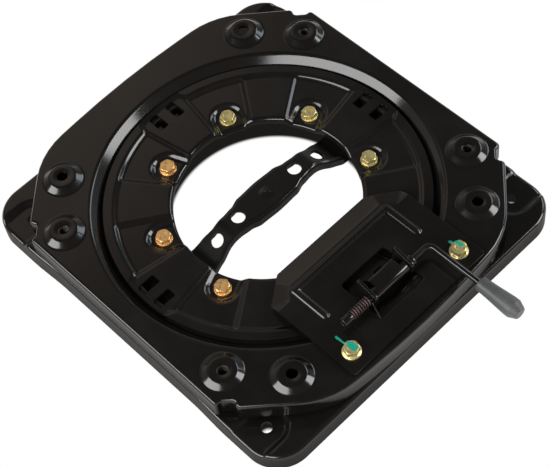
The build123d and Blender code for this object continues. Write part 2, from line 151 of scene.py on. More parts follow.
def carpet(rings, steps, place):
    """A spun row of rings, each vertex then moved to place(ring, angle)."""
    bm = bmesh.new()
    spin_row(bm, [(k + 1.0, 0, 0) for k in range(rings)], steps)
    for v in bm.verts:
        ring = round(hypot(v.co.x, v.co.y)) - 1
        v.co = place(ring, atan2(v.co.y, v.co.x))
    bmesh.ops.remove_doubles(bm, verts=bm.verts, dist=touching)
    return bm


def box_mm(node):
    """The lowest and the highest corner of a CAD piece, in millimetres."""
    return [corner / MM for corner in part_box(node)]


print("the tray's box runs from and to", box_mm("base_plate"))

# %% [markdown]
# Every piece is finished in the same way. The open sheet gets its thickness
# from Solidify, holes are cut with a Boolean, and Bevel takes off the sharp
# edges that are left. The modifiers are then applied, so that the mesh is
# final, and the piece rides on its moving body and stands for its CAD piece.

# %% Finishing a piece
def made_object(bm, name):
    """An object in the scene, of a mesh that was built in millimetres."""
    bmesh.ops.scale(bm, vec=(MM, MM, MM), verts=bm.verts)
    mesh = bpy.data.meshes.new(name)
    bm.to_mesh(mesh)
    bm.free()
    obj = bpy.data.objects.new(name, mesh)
    bpy.context.scene.collection.objects.link(obj)
    return obj


def cutter(bm):
    """A hidden shape that holes are cut with."""
    bmesh.ops.recalc_face_normals(bm, faces=bm.faces)
    obj = made_object(bm, "cutter")
    obj.hide_render = True
    return obj


def face_up(bm):
    """Turns an open sheet so that its upper side is its front."""
    if sum(f.normal.z * f.calc_area() for f in bm.faces) < 0:
        bmesh.ops.reverse_faces(bm, faces=bm.faces)


def finish_piece(bm, name, body, slot, node, thick=0, edge=0, cuts=None, smooth=35, soft_over=50):
    """Gives a mesh its thickness, holes and soft edges, and puts it in place of a CAD node."""
    bm.normal_update()
    obj = made_object(bm, name)
    if thick:
        solid = obj.modifiers.new("sheet", "SOLIDIFY")
        solid.thickness = thick * MM
        solid.offset = -1
    if cuts:
        cut = obj.modifiers.new("holes", "BOOLEAN")
        cut.operation = "DIFFERENCE"
        cut.solver = "EXACT"
        cut.object = cuts
    if edge:
        bevel = obj.modifiers.new("edges", "BEVEL")
        bevel.width = edge * MM
        bevel.segments = 2
        bevel.limit_method = "ANGLE"
        bevel.angle_limit = radians(soft_over)
    deps = bpy.context.evaluated_depsgraph_get()
    done = bpy.data.meshes.new_from_object(obj.evaluated_get(deps))
    obj.modifiers.clear()
    obj.data = done
    done.name = name
    for face in done.polygons:
        face.use_smooth = True
    done.set_sharp_from_angle(angle=radians(smooth))
    if cuts:
        bpy.data.objects.remove(cuts)
    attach(obj, body)
    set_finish(obj, slot)
    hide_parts(node)
    print(name, len(done.polygons), "faces")
    return obj


black = "black_paint"

# %% [markdown]
# The tray is a drawn pan: a flat deck, a rim turned down to the floor, a round
# dome in the middle with a big bore, and a U-shaped dish at each corner for the
# head of a bolt. Seen from above it is a rounded rectangle with two sides drawn
# in by a small waist. The outline is worked out ray by ray from the centre, so
# that rings can start round at the bore and end as this outline at the rim.

# %% The tray's outline
tray_x, tray_y, dome_z = box_mm("base_plate")[1]
deck_z = 20.0
tray_corner, tray_crease = 34.0, 4.5
waist, waist_start, waist_run, waist_soft = 1.8, 92.0, 32.0, 8.0
tiny = 1e-6


def tray_outline(angle, inset):
    """Where a ray from the centre meets the tray's outline, set in by inset."""
    c, s = abs(cos(angle)), abs(sin(angle))
    a, r = tray_x - inset, max(tray_corner - inset, 1)
    full = tray_y - inset
    b = full
    for _ in range(3):
        x = b * c / max(s, tiny)
        b = full - waist * (1 - wall(x - waist_start, waist_run, waist_soft))
    if a * s / max(c, tiny) <= full - r:
        x, y = a, a * s / c
    elif b * c / s <= a - r:
        x, y = b * c / s, b
    else:
        px, py = a - r, full - r
        along_ray = px * c + py * s
        reach = along_ray + sqrt(max(along_ray ** 2 - px ** 2 - py ** 2 + r ** 2, 0))
        x, y = reach * c, reach * s
    return (x if cos(angle) >= 0 else -x), (y if sin(angle) >= 0 else -y)


print("the tray's half-width at its waist is", round(tray_outline(pi / 2, 0)[1], 2), "mm")

# %% [markdown]
# The dishes are only 16 mm in radius, so they need small faces, while the
# middles of the sides need none. The rays are therefore packed closer together
# at the corners. The dome and the rim are profiles with rounded bends, and the
# deck between them is blended from the round foot of the dome to the outline.

# %% The tray
bolt_pitch, bolt_hole_r = 157.5, 5.25
dish_r, dish_wall, dish_soft, dish_depth = 16.5, 3.0, 1.4, 3.0
dome_bore, dome_top_r, dome_foot_r, dome_bend = 93, 155, 165, 5
deck_rings, tray_rays = 34, 440
ray_stops = [(0, 0), (0.2, 33), (0.8, 57), (1, 90)]
dome_path = rounded_path(
    [(dome_bore, dome_z), (dome_top_r, dome_z), (dome_foot_r, deck_z), (dome_foot_r + 7, deck_z)],
    [dome_bend, dome_bend])
rim_path = rounded_path([(tray_crease + 4, deck_z), (0, deck_z), (0, 0)], [tray_crease])


def crowd(angle):
    """Spreads evenly spaced rays so that most fall near the corners."""
    quarter = (angle % (2 * pi)) / (pi / 2)
    whole, t = int(quarter), quarter % 1
    for (t0, a0), (t1, a1) in zip(ray_stops, ray_stops[1:]):
        if t <= t1:
            return radians(90 * whole + a0 + (a1 - a0) * (t - t0) / (t1 - t0))


def dish_at(x, y):
    """How deep the dish is at a point: 1 on its floor and 0 outside it."""
    u, v = abs(y) - bolt_pitch, abs(x) - bolt_pitch
    d = abs(v) if u > 0 else hypot(u, v)
    return 1 - wall(d - dish_r, dish_wall, dish_soft)


def tray_place(ring, angle):
    """The place of a vertex of the tray, counted from the bore outwards."""
    angle = crowd(angle)
    if ring < len(dome_path):
        r, z = dome_path[ring]
        return (r * cos(angle), r * sin(angle), z)
    ring -= len(dome_path)
    if ring < deck_rings:
        x0, y0 = dome_path[-1][0] * cos(angle), dome_path[-1][0] * sin(angle)
        x1, y1 = tray_outline(angle, rim_path[0][0])
        t = (ring + 1) / (deck_rings + 1)
        x, y, z = x0 + (x1 - x0) * t, y0 + (y1 - y0) * t, deck_z
    else:
        inset, z = rim_path[ring - deck_rings]
        x, y = tray_outline(angle, inset)
    return (x, y, z - dish_depth * dish_at(x, y) * z / deck_z)


tray = carpet(len(dome_path) + deck_rings + len(rim_path), tray_rays, tray_place)
face_up(tray)
holes = bmesh.new()
for sx in (-1, 1):
    for sy in (-1, 1):
        spot = Matrix.Translation((sx * bolt_pitch, sy * bolt_pitch, deck_z - dish_depth))
        bmesh.ops.create_cone(
            holes, cap_ends=True, segments=48, radius1=bolt_hole_r, radius2=bolt_hole_r, depth=20,
            matrix=spot)
finish_piece(tray, "tray_pressing", "base", black, "base_plate", thick=sheet, cuts=cutter(holes))

# %% [markdown]
# The latch ring is the richest pressing. Seen from above it repeats eight
# times: a lowered panel for each bolt with a deeper tongue-shaped pocket that
# touches the tray's dome, level flats that carry the latch slots, and a raised
# outer band. Sculpting it would never come out regular, so one height formula
# of radius and angle gives all of it, with the walls as rounded steps.

# %% The height of the latch ring
ring_hi = box_mm("ring_plate")[1]
ring_r, band_z, ring_bore = ring_hi.x, ring_hi.z, 87.5
flat_edge, flat_drop = 10.2, 1.4
panel_drop, panel_wall, panel_soft = 3.4, 2.6, 1.0
flats_end, panels_end = 150.0, 142.0
end_wall, end_wall_more, end_soft = 2.0, 0.4, 1.2
side_wall, side_soft = 3.0, 2.5
bolt_circle, bolt_angle = 101.7, 22.5
pocket_r, pocket_wall, pocket_soft = 12.0, 4.2, 1.3
pocket_drop = band_z - (dome_z + sheet)


def ring_height(x, y):
    """Top of the latch ring at a point."""
    r, a = hypot(x, y), degrees(atan2(y, x)) % 90
    a = min(a, 90 - a)
    arc = r * pi / 180
    near_side = wall((a - flat_edge) * arc, panel_wall, panel_soft)
    far_side = wall((a - (45 - flat_edge)) * arc + panel_wall, panel_wall, panel_soft)
    panel = flat_drop + (panel_drop - flat_drop) * (near_side - far_side)
    flat_side = wall((a - flat_edge) * arc + side_wall / 2, side_wall, side_soft)
    edge = flats_end - (flats_end - panels_end) * flat_side
    run = end_wall + end_wall_more * flat_side
    outside = wall(r - (edge - run), run, end_soft)
    turn = radians(a - bolt_angle)
    u, v = bolt_circle - r * cos(turn), abs(r * sin(turn))
    d = v if u > 0 else hypot(u, v)
    pocket = 1 - wall(d - pocket_r, pocket_wall, pocket_soft)
    depth = panel * (1 - outside)
    return band_z - depth - (pocket_drop - depth) * pocket


print("the bolts' pockets lie", round(pocket_drop, 2), "mm below the band")

# %% [markdown]
# The ring's bore has a lip that is drawn down, deepest between the bolts and
# short beside them, so its rings come first: straight down, then a quarter
# round, then the sheet. The slots for the latch's teeth are cut last, in pairs
# on the four flats, with boxes whose upright edges are beveled round.

# %% The latch ring
lip_r, lip_rings, lip_arc = 3.5, 5, 7
lip_low, lip_deep, lip_wall, lip_soft = 32.2, 28.6, 6.0, 1.5
sheet_rings, ring_rays = 46, 640
slot_r, slot_side = 137.65, 10.4
slot_long, slot_wide, slot_tall, slot_corner = 18.7, 10.5, 12, 1.5


def ring_place(ring, angle):
    """The place of a vertex of the latch ring, counted from the lip's foot outwards."""
    c, s = cos(angle), sin(angle)
    inner = ring_bore + lip_r
    top = ring_height(inner * c, inner * s)
    if ring < lip_rings:
        from_bolt = abs(degrees(angle) % 45 - bolt_angle) * ring_bore * pi / 180
        pocket = 1 - wall(from_bolt - pocket_r, lip_wall, lip_soft)
        low = lip_low - (lip_low - lip_deep) * pocket
        return (ring_bore * c, ring_bore * s, low + (top - lip_r - low) * ring / lip_rings)
    ring -= lip_rings
    if ring <= lip_arc:
        t = pi / 2 * ring / lip_arc
        r = inner - lip_r * cos(t)
        return (r * c, r * s, top - lip_r + lip_r * sin(t))
    ring -= lip_arc
    r = inner + (ring_r - inner) * ring / sheet_rings
    return (r * c, r * s, ring_height(r * c, r * s))


latch_ring = carpet(lip_rings + lip_arc + 1 + sheet_rings, ring_rays, ring_place)
face_up(latch_ring)
slots = bmesh.new()
for quarter in range(4):
    for side in (-1, 1):
        spot = Matrix.Rotation(pi / 2 * quarter, 4, "Z")
        spot = spot @ Matrix.Translation((slot_r, side * slot_side, band_z - 2))
        spot = spot @ Matrix.Diagonal((slot_long, slot_wide, slot_tall, 1))
        cube = bmesh.ops.create_cube(slots, size=1, matrix=spot)
        edges = {e for v in cube["verts"] for e in v.link_edges}
        standing = [e for e in edges if abs(e.verts[0].co.z - e.verts[1].co.z) > slot_tall / 2]
        bmesh.ops.bevel(
            slots, geom=standing, offset=slot_corner, segments=4, profile=0.5, affect="EDGES", material=-1)
finish_piece(
    latch_ring, "latch_ring_pressing", "base", black, "ring_plate", thick=sheet, cuts=cutter(slots))

# %% [markdown]
# The bar across the middle is a channel: a flat top with a waist and two
# flanges turned down, its ends sloping down to where they are welded under the
# dome. A box model would need many loops to follow the waist. Here a plain grid
# is bent into the channel: one way runs across its section, the other along it.

# %% The bar's width and height
bar_end = box_mm("cross_bar")[1].y
bar_top, bar_foot, bar_flange, bar_bend = 44.4, dome_z - sheet, 11.0, 3.2
slope_start, slope_end, slope_soft = 51, 82, 4
widths = [
    (0, 17.4), (22, 16.4), (34, 13.1), (45, 11.9), (57, 11.6), (72, 14.2), (86, 15.9), (112, 17.0),
    (140, 17.0),
]


def bar_half_width(y):
    """The waisted half-width, smoothed between the widths that were read."""
    y = abs(y)
    for (y0, w0), (y1, w1) in zip(widths, widths[1:]):
        if y <= y1:
            t = (y - y0) / (y1 - y0)
            return w0 + (w1 - w0) * t * t * (3 - 2 * t)


def bar_height(y):
    """The bar's top, level in the middle and sloping down near both ends."""
    slope = (bar_top - bar_foot) / (slope_end - slope_start)
    y = abs(y)
    return bar_top - slope * (ease(y - slope_start, slope_soft) - ease(y - slope_end, slope_soft))


print("the bar is", 2 * bar_half_width(0), "mm wide in the middle")

# %% [markdown]
# The grid's outer rows follow the flange and its bend, and the rows between
# them lie on the flat top, where a small pip is pressed up in the middle. Two
# of the holes are in the level part. The other two are in the slopes, and their
# cutters are tilted to stand square on the sheet.

# %% The bar across the middle
shoulder, top_rows, bar_rows = 8, 8, 150
pip_rise, pip_r = 1.6, 5.0
level_hole_y, level_hole_r, level_hole_deep = 36, 6.65, 14
slope_hole_y, slope_hole_r, slope_hole_deep = 64, 6.75, 11
flange_run = rounded_path([(0, -bar_flange), (0, 0), (shoulder, 0)], [bar_bend], step=12)
across = 2 * len(flange_run) + top_rows - 1
bar = bmesh.new()
bmesh.ops.create_grid(bar, x_segments=across, y_segments=bar_rows, size=1)
for v in bar.verts:
    i = round((v.co.x + 1) / 2 * across)
    y = v.co.y * bar_end
    w = bar_half_width(y)
    nearer = min(i, across - i)
    if nearer < len(flange_run):
        inset, drop = flange_run[nearer]
        x = (w - inset) * (-1 if i == nearer else 1)
    else:
        t = (i - len(flange_run) + 1) / (top_rows + 1)
        x, drop = (w - shoulder) * (2 * t - 1), 0
    pip = pip_rise * max(0, 1 - (hypot(x, y) / pip_r) ** 2)
    v.co = (x, y, bar_height(y) + drop + pip)
face_up(bar)
bar_holes = bmesh.new()
for side in (-1, 1):
    level_spot = Matrix.Translation((0, side * level_hole_y, bar_top))
    tilt = side * atan2(bar_top - bar_foot, slope_end - slope_start)
    slope_spot = Matrix.Translation((0, side * slope_hole_y, bar_height(slope_hole_y)))
    slope_spot = slope_spot @ Matrix.Rotation(-tilt, 4, "X")
    for r, deep, spot in (
            (level_hole_r, level_hole_deep, level_spot), (slope_hole_r, slope_hole_deep, slope_spot)):
        bmesh.ops.create_cone(
            bar_holes, cap_ends=True, segments=56, radius1=r, radius2=r, depth=deep, matrix=spot)
finish_piece(bar, "bar_pressing", "base", black, "cross_bar", thick=sheet, cuts=cutter(bar_holes))

# %% [markdown]
# The seat plate is a broad flat field with a skirt all round, and its outline
# is a few straight and gently bowed sides with a notch at each corner. Each
# corner point has its own radius. Setting the outline in by the depth of the
# bend keeps as many points in every loop, so that the loops join up as rings.

# %% The outline of the seat plate
seat_lo, seat_hi = box_mm("seat_plate")
skirt_z, seat_y, boss_top = seat_lo.z, seat_hi.y, seat_hi.z
field_z = boss_top - 5.0
rim_r = 3.4
bow_x, bow_r = 200.0, 900.0
corner_run = [
    ((191.75, 112.2), 80.0), ((137.7, 170.3), 4.4), ((131.5, 166.7), 3.9), ((123.3, 175.3), 4.0),
    ((123.3, seat_y), 4.0),
]
outline = []
for sx, sy in ((1, 1), (-1, 1), (-1, -1), (1, -1)):
    if sx == sy:
        outline.append((sx * bow_x, 0.0, bow_r))
    run = corner_run if sx == sy else corner_run[::-1]
    outline += [(sx * x, sy * y, r) for (x, y), r in run]


def seat_outline(inset):
    """The seat plate's outline set in by inset, always with the same number of points."""
    loop = []
    for i, (x, y, r) in enumerate(outline):
        here = Vector((x, y))
        before, after = Vector(outline[i - 1][:2]), Vector(outline[(i + 1) % len(outline)][:2])
        u, w = (before - here).normalized(), (after - here).normalized()
        turn = pi - u.angle(w)
        left = 1 if u.x * w.y - u.y * w.x < 0 else -1
        inward = (u + w).normalized() * left
        corner = here + inward * (inset / cos(turn / 2))
        radius = r - left * inset
        centre = corner + (u + w).normalized() * (radius / cos(turn / 2))
        arm = corner + u * (radius * tan(turn / 2)) - centre
        count = max(4, ceil(degrees(turn) / 8))
        loop += [centre + Matrix.Rotation(left * turn * k / count, 2) @ arm for k in range(count + 1)]
    return loop


print("the outline of the seat plate has", len(seat_outline(0)), "points")

# %% [markdown]
# Only the formed places need small faces, and the field between them can stay
# one flat area. So the rim is a carpet of outline loops, each boss and the well
# in the middle are spun on their own, and a triangle fill joins their outer
# edges through the field. The fill keeps flat what is flat on the real plate.

# %% The seat plate
boss_bore, boss_flat_r, boss_foot_r, boss_bend = 5.25, 12.5, 19.35, 3.6
boss_corners = ((151.3, 117.2), (105.3, 154.8))
flange_z = 35.5
rim_profile = rounded_path([(rim_r + 0.5, field_z), (0, field_z), (0, skirt_z)], [rim_r], step=13)
rim_loops = [seat_outline(inset) for inset, z in rim_profile]
around = len(rim_loops[0])


def rim_place(ring, angle):
    """The place of a vertex of the rim and skirt, counted from the field outwards."""
    k = round(angle / (2 * pi) * around) % around
    return (*rim_loops[ring][k], rim_profile[ring][1])


def spin_patch(bm, path, steps, centre):
    """Spins a profile into bm and gives back the edges of its outer ring."""
    known = set(bm.verts)
    spin_row(bm, [(p[0], 0, p[1]) for p in path], steps, (*centre, 0))
    bmesh.ops.remove_doubles(bm, verts=[v for v in bm.verts if v not in known], dist=touching)
    fresh = {v: hypot(v.co.x - centre[0], v.co.y - centre[1]) for v in bm.verts if v not in known}
    ring = {v for v, r in fresh.items() if r > max(fresh.values()) - 0.01}
    return [e for v in ring for e in v.link_edges if e.verts[0] in ring and e.verts[1] in ring]


seat = carpet(len(rim_profile), around, rim_place)
fill_edges = [e for e in seat.edges if e.is_boundary and e.verts[0].co.z > field_z - 0.01]
boss_path = rounded_path(
    [(boss_bore, boss_top), (boss_flat_r, boss_top), (boss_foot_r, field_z), (boss_foot_r + 1.95, field_z)],
    [boss_bend, boss_bend], step=7)
well_path = rounded_path(
    [(144.5, flange_z), (153, flange_z), (162.6, field_z), (165.3, field_z)], [3.0, 4.8], step=7, pad=0.8)
for x, y in boss_corners:
    for sx in (-1, 1):
        for sy in (-1, 1):
            fill_edges += spin_patch(seat, boss_path, 64, (sx * x, sy * y))
fill_edges += spin_patch(seat, well_path, 288, (0, 0))
fill_edges = list({e for e in fill_edges if e.is_valid})
bmesh.ops.triangle_fill(seat, use_beauty=True, use_dissolve=False, edges=fill_edges, normal=(0, 0, 1))
bmesh.ops.recalc_face_normals(seat, faces=seat.faces)
face_up(seat)
finish_piece(
    seat, "seat_pressing", "seat", black, "seat_plate", thick=sheet, edge=0.45, smooth=40, soft_over=60)

# %% [markdown]
# The latch plate carries the lever. It is flat where it is bolted on, its nose
# is bent down over the ring with its corners folded on a slant, and a U-shaped
# bead stiffens it round a window that the latch works through. As on the ring,
# a height formula bends the nose and raises the bead. The distance to the
# bead's middle line sets the height, so its ends and corners come out round.

# %% The height of the latch plate
plate_lo, plate_hi = box_mm("latch_plate")
plate_x, plate_y, plate_z = plate_hi.x, plate_hi.y, field_z + sheet
fold_x, fold_y, fold_slope, fold_soft = 87.4, 57.5, 0.27, 2.2
corner_x, corner_steep = 98.5, 1.8
bead_x, bead_y, bead_end = 95.0, 58.0, 132.5
bead_rise, bead_flat, bead_wall, bead_soft = 2.2, 1.6, 2.4, 0.8


def plate_height(x, y):
    """Top of the latch plate at a point."""
    y = abs(y)
    front = fold_x - x
    slant = ((fold_x - x) + (y - fold_y)) * sqrt(0.5)
    corner = min(slant, corner_steep * (corner_x - x))
    bent = fold_slope * ease(max(front, corner), fold_soft)
    if x > bead_end:
        d = hypot(x - bead_end, y - bead_y)
    elif x > bead_x:
        d = min(abs(y - bead_y), hypot(x - bead_x, max(y - bead_y, 0)))
    else:
        d = hypot(x - bead_x, max(y - bead_y, 0))
    if x > bead_x - 6 and y < bead_y:
        d = min(d, abs(x - bead_x))
    return plate_z - bent + bead_rise * (1 - wall(d - bead_flat, bead_wall, bead_soft))


print("the bead stands", plate_height(bead_end, bead_y) - plate_z, "mm above the latch plate")

# %% [markdown]
# A grid is mapped so that some of its lines fall on the edges of the window,
# and the faces inside the window are deleted. The rows lie closest together in
# front of the window, because the bead's narrow wall runs along them there and
# would break up into dots with fewer. Corner points are pulled onto small arcs.

# %% The latch plate
nose_x, nose_half, nose_side = plate_lo.x, 55.0, 89.6
window_lo, window_hi, window_half, window_corner = 120.5, 170.0, 27.5, 4
plate_corner = 3
x_counts, y_counts = (92, 42, 20), (48, 50, 48)


def along(stops, counts, i):
    """Place i of a row whose stretches between stops have the given counts."""
    for a, b, n in zip(stops, stops[1:], counts):
        if i <= n:
            return a + (b - a) * i / n
        i -= n
    return stops[-1]


def round_in(x, y, cx, cy, r, sx, sy):
    """Pulls a point of a square corner onto an arc of radius r."""
    if sx * (x - cx) > 0 and sy * (y - cy) > 0:
        away = hypot(x - cx, y - cy)
        reach = max(abs(x - cx), abs(y - cy))
        if reach > r - 0.02:
            return cx + (x - cx) * r / away, cy + (y - cy) * r / away
    return x, y


def in_window(x, y, margin=0):
    """Whether a point is in the window, or within a margin of it."""
    return window_lo - margin < x < window_hi + margin and abs(y) < window_half + margin


plate = bmesh.new()
nx, ny = sum(x_counts), sum(y_counts)
bmesh.ops.create_grid(plate, x_segments=nx, y_segments=ny, size=1)
for v in plate.verts:
    i, j = round((v.co.x + 1) / 2 * nx), round((v.co.y + 1) / 2 * ny)
    y = along((-plate_y, -window_half, window_half, plate_y), y_counts, j)
    edge_x = nose_x + (nose_side - nose_x) * max(0, abs(y) - nose_half) / (plate_y - nose_half)
    x = along((edge_x, window_lo, window_hi, plate_x), x_counts, i)
    v.co = (x, y, 0)
inside = [f for f in plate.faces if in_window(*f.calc_center_median().xy)]
bmesh.ops.delete(plate, geom=inside, context="FACES")
for v in plate.verts:
    x, y = v.co.x, v.co.y
    if v.is_boundary:
        for sy in (-1, 1):
            for cx, sx in ((window_lo + window_corner, -1), (window_hi - window_corner, 1)):
                if in_window(x, y, 1):
                    cy = sy * (window_half - window_corner)
                    x, y = round_in(x, y, cx, cy, window_corner, sx, sy)
            cy = sy * (plate_y - plate_corner)
            x, y = round_in(x, y, plate_x - plate_corner, cy, plate_corner, 1, sy)
    v.co = (x, y, plate_height(x, y))
face_up(plate)
latch_plate = finish_piece(
    plate, "latch_plate_pressing", "seat", black, "latch_plate", thick=sheet, edge=0.35)

# %% [markdown]
# Bolt heads are small but bright, so their shape matters: a hexagon whose
# corners are cut by a cone, which leaves a curved line on each flat. Rings of
# vertices spun round the bolt's axis are moved out to the hexagon, and the
# height of the chamfer follows from how far out each vertex is. A flange bolt
# has more rings, for the skirt that is turned on below its hexagon.

# %% A bolt head
dish_deep, round_share, cone_slope = 0.25, 0.94, tan(radians(30))
flange_base, skirt_fall, skirt_edge = 2.4, 1.3, 0.35
head_rings = [
    ("dish", 0.0), ("dish", 0.52), ("dish", 0.6), ("flat", 0.72), ("flat", 0.97), ("flat", 1.0),
    ("cone", 0.5), ("side", 1.0), ("side", 0.0),
]
flange_rings = [("skirt", 0.0), ("skirt", 0.5), ("skirt", 0.92), ("skirt", 1.0), ("rim", 0.0)]


def hex_reach(angle, across_flats):
    """Distance from the middle of a hexagon to its side along a ray."""
    part = (degrees(angle) + 30) % 60 - 30
    return across_flats / 2 / cos(radians(part))


def bolt_head(across_flats, height, flange=None):
    """A head standing on z = 0, with a flange turned on where one is given."""
    base = flange_base if flange else 0.0
    round_r = across_flats / 2 * round_share
    rings = head_rings + (flange_rings if flange else [])

    def place(ring, angle):
        kind, t = rings[ring]
        edge = hex_reach(angle, across_flats)
        chamfer = height - (edge - round_r) * cone_slope
        if kind == "dish":
            r, z = round_r * t, height - (dish_deep if t < 0.6 else 0)
        elif kind == "flat":
            r, z = round_r * t, height
        elif kind == "cone":
            r = round_r + (edge - round_r) * t
            z = height - (r - round_r) * cone_slope
        elif kind == "side":
            r, z = edge, base + (chamfer - base) * t
        elif kind == "skirt":
            r = edge + (flange - edge) * t
            z = base - skirt_fall * t - (skirt_edge if t == 1 else 0)
        else:
            r, z = flange, 0.0
        return (r * cos(angle), r * sin(angle), z)

    bm = carpet(len(rings), 96, place)
    bmesh.ops.holes_fill(bm, edges=[e for e in bm.edges if e.is_boundary], sides=0)
    bmesh.ops.recalc_face_normals(bm, faces=bm.faces)
    return bm


print("a 13 mm head reaches", hex_reach(radians(30), 13), "mm at its corners")

# %% [markdown]
# Eight bolts clamp the latch ring on the dome, each on a washer, and two flange
# bolts hold the latch plate. Nobody turns bolts to the same angle, so each head
# gets its own turn. The heads of a kind are one mesh, as they are one node in
# the CAD: a single head is copied to each place.

# %% Bolts and washers
washer_z, washer_thick = dome_z + sheet, 1.6
head_z = washer_z + washer_thick
bolt_across, bolt_high = 13, 5.3
latch_bolt_high, latch_flange_r = 8.0, 8.75
latch_bolt_x, latch_bolt_y = 173.1, 67.5
ring_turns = [14, 40, 5, 27, 51, 33, 9, 22]
latch_turns = [18, 37]
ring_angles = [radians(bolt_angle + 45 * k) for k in range(8)]
ring_spots = [(bolt_circle * cos(a), bolt_circle * sin(a)) for a in ring_angles]
latch_spots = [(latch_bolt_x, -latch_bolt_y), (latch_bolt_x, latch_bolt_y)]
washer_line = [(6, 0), (4.3, 0), (4.3, washer_thick), (8, washer_thick), (8, 0), (6, 0)]


def copies(source, places):
    """One mesh with source repeated at each place."""
    mesh = bpy.data.meshes.new("pattern")
    source.to_mesh(mesh)
    source.free()
    bm = bmesh.new()
    for place in places:
        known = set(bm.verts)
        bm.from_mesh(mesh)
        bmesh.ops.transform(bm, matrix=place, verts=[v for v in bm.verts if v not in known])
    bpy.data.meshes.remove(mesh)
    return bm


def turned(spots, z, turns):
    """A place for each spot, at height z and turned by its own angle."""
    return [
        Matrix.Translation((x, y, z)) @ Matrix.Rotation(radians(t), 4, "Z")
        for (x, y), t in zip(spots, turns)
    ]


def put_heads(head, places, name, body, node):
    """Finishes the heads of one kind of bolt."""
    return finish_piece(
        copies(head, places), name, body, "yellow_zinc", node, edge=0.25, smooth=28, soft_over=25)


put_heads(
    bolt_head(bolt_across, bolt_high), turned(ring_spots, head_z, ring_turns),
    "ring_bolt_heads", "base", "ring_bolts")
washer = spun_profile(rounded_path(washer_line, [0, 0.25, 0.35, 0.2], step=30, pad=0.2), 64)
bmesh.ops.recalc_face_normals(washer, faces=washer.faces)
finish_piece(
    copies(washer, [Matrix.Translation((x, y, washer_z)) for x, y in ring_spots]),
    "ring_washers", "base", "yellow_zinc", "ring_bolt_washers", smooth=45)
latch_bolts = put_heads(
    bolt_head(bolt_across, latch_bolt_high, latch_flange_r), turned(latch_spots, plate_z, latch_turns),
    "flange_bolt_heads", "seat", "latch_flange_bolts")

# %% [markdown]
# The lever is a bent rod, and beside it sits a torsion spring of thin wire. A
# curve with a bevel would make both, but would still have to be turned into a
# mesh, so both are swept directly: a circle is extruded ring by ring along a
# path, and each ring is turned square to the path without twisting.

# %% The lever rod and its spring
pivot_x, pivot_z, arm_y = 154.0, 61.0, 50.0
rod_r, bend_r, bend_steps = 3.0, 6.5, 12
coil_y0, coil_y1, coil_turns, coil_r, wire_r, coil_steps = -25.9, -46.6, 8, 4.05, 0.75, 20
spring_leg = [(168.6, -27.5, 49.8), (163.5, -26.6, 53.5)]


def next_ring(bm, ring):
    """Extrudes a ring of vertices and gives back the new ring in the same order."""
    edges = list({e for v in ring for e in v.link_edges if all(w in ring for w in e.verts)})
    made = bmesh.ops.extrude_edge_only(bm, edges=edges)["geom"]
    follows = {}
    for v in made:
        if isinstance(v, bmesh.types.BMVert):
            for other in [e.other_vert(v) for e in v.link_edges]:
                if other in ring:
                    follows[ring.index(other)] = v
    return [follows[k] for k in range(len(ring))]


def sweep(path, radius, sides):
    """A round bar along a path, closed at both ends."""
    bm = bmesh.new()
    ring = bmesh.ops.create_circle(bm, segments=sides, radius=radius, cap_ends=True)["verts"]
    spots = [v.co.copy() for v in ring]
    side = None
    for i, p in enumerate(path):
        ahead = (path[min(i + 1, len(path) - 1)] - path[max(i - 1, 0)]).normalized()
        if side is None:
            side = ahead.orthogonal()
        side = (side - ahead * side.dot(ahead)).normalized()
        turn = Matrix((side, ahead.cross(side), ahead)).transposed()
        if i > 0:
            ring = next_ring(bm, ring)
        for v, spot in zip(ring, spots):
            v.co = p + turn @ spot
    bm.faces.new(ring)
    bmesh.ops.recalc_face_normals(bm, faces=bm.faces)
    return bm


rod_lo, rod_hi = box_mm("lever_rod")
rod_line = [Vector((pivot_x, rod_lo.y, pivot_z)), Vector((pivot_x, arm_y - bend_r - 1, pivot_z))]
for k in range(bend_steps + 1):
    t = pi / 2 * k / bend_steps
    rod_line.append(Vector((pivot_x + bend_r * (1 - cos(t)), arm_y - bend_r * (1 - sin(t)), pivot_z)))
rod_line += [Vector((pivot_x + bend_r + 1, arm_y, pivot_z)), Vector((rod_hi.x, arm_y, pivot_z))]
finish_piece(sweep(rod_line, rod_r, 32), "lever_rod_bent", "lever", black, "lever_rod", edge=0.5)
spring_line = [Vector(p) for p in spring_leg]
for k in range(coil_turns * coil_steps + 1):
    t = 2 * pi * k / coil_steps
    y = coil_y0 + (coil_y1 - coil_y0) * k / (coil_turns * coil_steps)
    spring_line.append(Vector((pivot_x + coil_r * cos(t), y, pivot_z - coil_r * sin(t))))
finish_piece(sweep(spring_line, wire_r, 10), "spring_coil", "seat", "spring_steel", "lever_spring")

# %% [markdown]
# The grip is a plastic moulding, turned all round: a slow swell towards the
# hand's end, a short straight, then a blunt cone. It is spun from its half
# section standing up, and then laid over along the lever's arm.

# %% The grip
grip_lo = box_mm("lever_grip")[0]
grip_path = rounded_path(
    [(0.0, 0), (6.65, 0), (7.4, 14), (9.0, 33), (9.0, 37.5), (5.6, 45), (0.0, 45)],
    [1.2, 30, 12, 2.2, 1.2], step=8, pad=0.3)
grip = spun_profile(grip_path, 64)
bmesh.ops.rotate(grip, verts=grip.verts, cent=(0, 0, 0), matrix=Matrix.Rotation(pi / 2, 3, "Y"))
bmesh.ops.translate(grip, verts=grip.verts, vec=(grip_lo.x, arm_y, pivot_z))
bmesh.ops.recalc_face_normals(grip, faces=grip.faces)
finish_piece(grip, "grip_moulding", "lever", "grey_grip", "lever_grip", smooth=45)

# %% [markdown]
# The ears, the pawl and the collars are simple bent and turned pieces, and
# their CAD shapes are right as they are except for one thing: a real edge is
# never perfectly sharp. A copy of each CAD mesh is merged into one skin, its
# flat faces are joined, and the edges are beveled a little.

